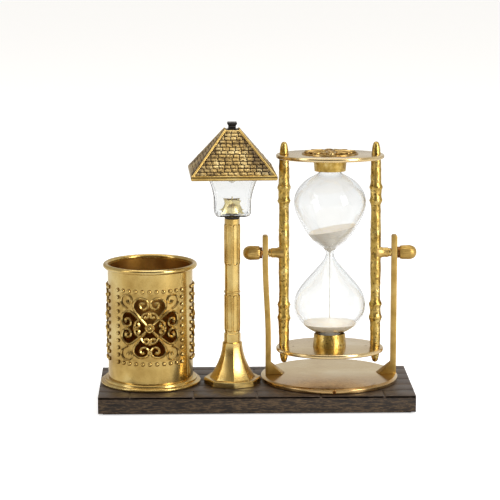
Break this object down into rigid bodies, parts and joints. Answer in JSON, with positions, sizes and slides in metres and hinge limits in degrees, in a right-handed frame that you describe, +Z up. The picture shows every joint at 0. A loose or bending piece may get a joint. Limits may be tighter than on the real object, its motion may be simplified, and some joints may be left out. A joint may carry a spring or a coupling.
{
  "type": "hourglass",
  "caption": "Hourglass in a cage that turns between two arms, beside a small street lamp and a pierced pen cup on one paved plinth.",
  "frame": {"origin": "centre of the plinth's underside", "axes": "+X along the plinth from the pen cup to the hourglass, +Y from the front to the back, +Z up"},
  "size_m": [0.2089, 0.0939, 0.1851],
  "materials": {
    "felt": "short-pile felt",
    "plinth_wood": "dark brown, close-grained, semi-gloss lacquer",
    "paving_wood": "grey-brown, fine cathedral grain, semi-gloss lacquer",
    "gold_bright": "antique gold plate, polished",
    "gold_satin": "pale gold plate, satin",
    "gold_matte": "gold plate, blasted matte",
    "gold_antique": "hammered antique gold with dark patina",
    "copper_ring": "copper-toned, polished",
    "clear_glass": "clear, polished",
    "sand": "fine pale sand",
    "black_gloss": "black, glossy",
    "black_matte": "black, matte",
    "steel": "zinc-plated",
    "cell_steel": "nickel-plated button cells",
    "diode_lens": "water-clear epoxy",
    "cork": "agglomerated cork"
  },
  "bodies": {
    "base": {"felt_sheet": "felt", "plinth_board": "plinth_wood", "plinth_paving": "paving_wood", "plinth_screws": "steel", "cup_foot": "gold_bright", "cup_floor": "gold_antique", "cup_rim": "gold_bright", "cup_panel_1": "gold_bright", "cup_panel_2": "gold_bright", "cup_panel_3": "gold_bright", "lamp_foot": "gold_bright", "lamp_post": "gold_bright", "lamp_tie_rod": "steel", "lantern_seat": "black_matte", "lantern_ring": "gold_bright", "burner_crown": "gold_matte", "lantern_shade": "clear_glass", "lantern_roof": "gold_antique", "roof_ceiling": "gold_matte", "light_case": "black_matte", "button_cells": "cell_steel", "light_diode": "diode_lens", "snap_dome": "cell_steel", "stand_disc": "gold_satin", "stand_arm_left": "gold_matte", "stand_arm_right": "gold_matte", "arm_screws": "steel", "edge_grub_screw": "copper_ring"},
    "cage": {"cage_disc_top": "gold_satin", "cage_disc_bottom": "gold_satin", "cage_post_left": "gold_antique", "cage_post_right": "gold_antique", "finials": "gold_bright", "collar_top": "gold_bright", "collar_bottom": "gold_bright", "cork_pad_top": "cork", "cork_pad_bottom": "cork", "medallion_top": "gold_antique", "medallion_bottom": "gold_antique", "glass_vessel": "clear_glass", "sand_upper": "sand", "sand_lower": "sand", "sand_stream": "sand", "trunnion_left": "gold_bright", "trunnion_right": "gold_bright", "pivot_spacer_left": "copper_ring", "pivot_spacer_right": "copper_ring", "pivot_washer_left": "copper_ring", "pivot_washer_right": "copper_ring", "pivot_knob_left": "gold_bright", "pivot_knob_right": "gold_bright"},
    "button": {"push_button": "black_gloss"}
  },
  "joints": [
    {"name": "cage_turn", "type": "hinge", "parent": "base", "child": "cage", "pos_m": [0.0492, 0.0065, 0.0971], "axis": [1, 0, 0], "continuous": true},
    {"name": "button_press", "type": "slide", "parent": "base", "child": "button", "axis": [0, 0, -1], "range_m": [0, 0.0012], "stiffness_N_per_m": 400, "deforming": ["snap_dome"]}
  ]
}
